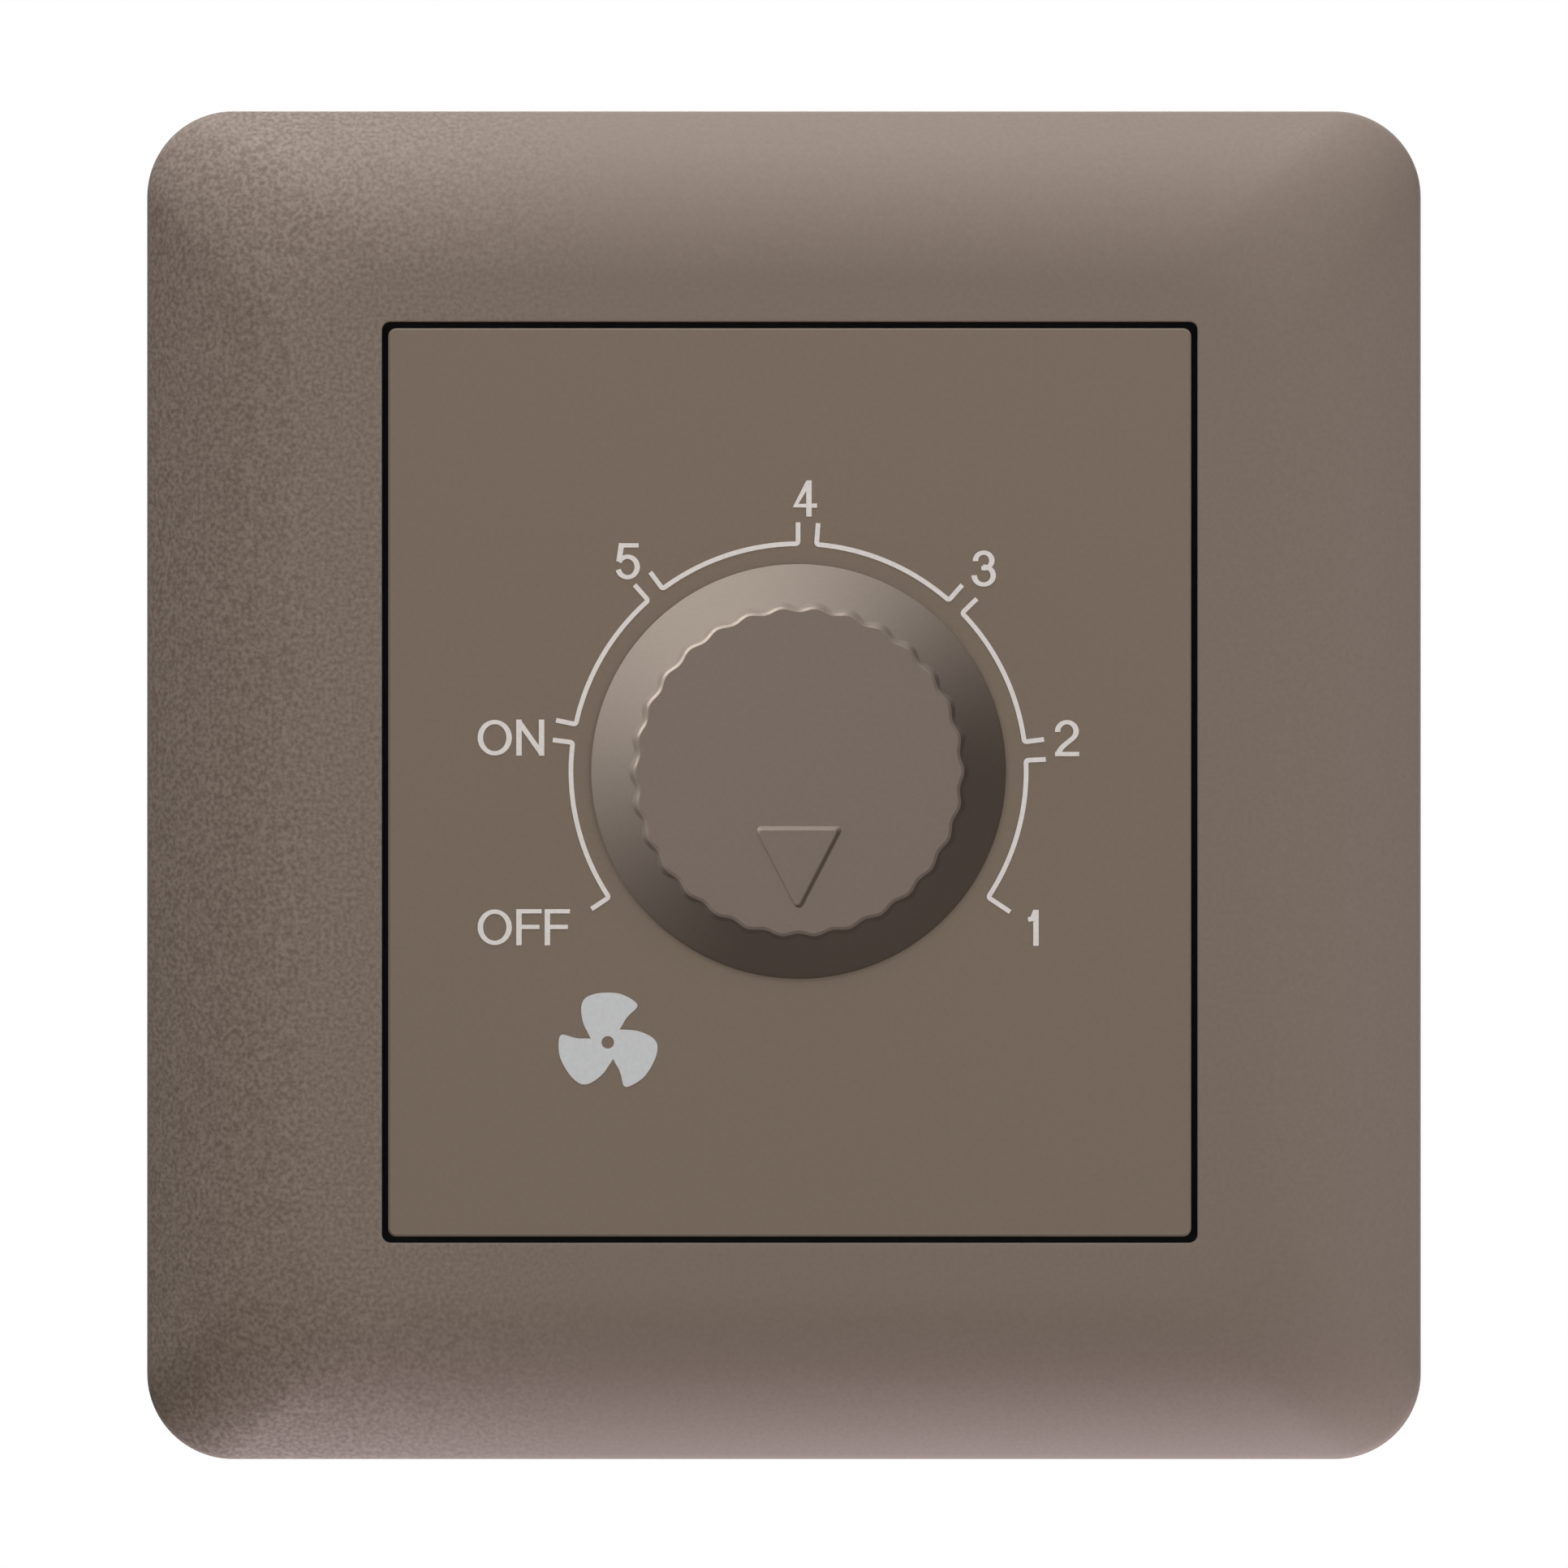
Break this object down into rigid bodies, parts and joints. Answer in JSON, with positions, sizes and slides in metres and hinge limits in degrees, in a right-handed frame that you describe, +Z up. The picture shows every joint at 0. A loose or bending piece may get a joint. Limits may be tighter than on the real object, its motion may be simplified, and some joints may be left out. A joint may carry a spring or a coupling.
{
  "type": "fan speed control switch",
  "caption": "Wall-mounted rotary fan speed control: a crowned brown frame round a flat dial plate with a tapered fluted knob, and a box with wire terminals behind.",
  "frame": {"origin": "centre of the frame's outline on the wall plane, midway between the two box screws", "axes": "+X to the right as seen from the room, +Y into the wall, +Z up"},
  "size_m": [0.086, 0.0436, 0.091],
  "materials": {
    "frame_paint": "satin metallic brown paint with a fine flake",
    "dial_paint": "satin metallic brown paint",
    "knob_paint": "satin metallic brown paint",
    "base_moulding": "black moulded plastic",
    "heat_sink_aluminium": "mill finish",
    "spring_steel": "bright",
    "shaft_aluminium": "turned",
    "zinc_plating": "zinc plated",
    "board_laminate": "brown laminate",
    "black_moulding": "black",
    "brass_parts": "bright",
    "silicone_sheet": "matte grey",
    "ferrite": "dark grey",
    "copper_wire": "enamelled copper",
    "film_case": "yellow",
    "resistor_body": "beige",
    "diode_glass": "clear",
    "fuse_tube": "clear"
  },
  "bodies": {
    "base": {"base_housing": "base_moulding", "bushing": "zinc_plating", "bushing_nut": "zinc_plating", "choke_core": "ferrite", "choke_winding": "copper_wire", "circuit_board": "board_laminate", "dial_plate": "dial_paint", "front_frame": "frame_paint", "fuse_cap_left": "brass_parts", "fuse_cap_right": "brass_parts", "fuse_clip_left": "brass_parts", "fuse_clip_right": "brass_parts", "fuse_glass": "fuse_tube", "heat_sink": "heat_sink_aluminium", "housing_screw_1": "zinc_plating", "housing_screw_2": "zinc_plating", "housing_screw_3": "zinc_plating", "housing_screw_4": "zinc_plating", "insulating_pad": "silicone_sheet", "lock_washer": "zinc_plating", "pot_case": "zinc_plating", "resistance_wafer": "board_laminate", "resistor_1": "resistor_body", "resistor_2": "resistor_body", "resistor_3": "resistor_body", "suppression_capacitor": "film_case", "switch_case": "black_moulding", "switch_pin_left": "brass_parts", "switch_pin_right": "brass_parts", "terminal_left": "brass_parts", "terminal_right": "brass_parts", "terminal_screw_left": "zinc_plating", "terminal_screw_right": "zinc_plating", "timing_capacitor": "film_case", "triac": "black_moulding", "triac_nut": "zinc_plating", "triac_screw": "zinc_plating", "trigger_diode": "diode_glass", "wafer_pin_left": "brass_parts", "wafer_pin_middle": "brass_parts", "wafer_pin_right": "brass_parts"},
    "knob": {"knob": "knob_paint", "knob_spring_clip": "spring_steel", "control_shaft": "shaft_aluminium", "wiper_rotor": "black_moulding", "wiper_contact": "brass_parts"}
  },
  "joints": [
    {"name": "knob_turn", "type": "hinge", "parent": "base", "child": "knob", "pos_m": [0.00098, 0, 0.00093], "axis": [0, 1, 0], "range_deg": [0, 303.7]}
  ]
}
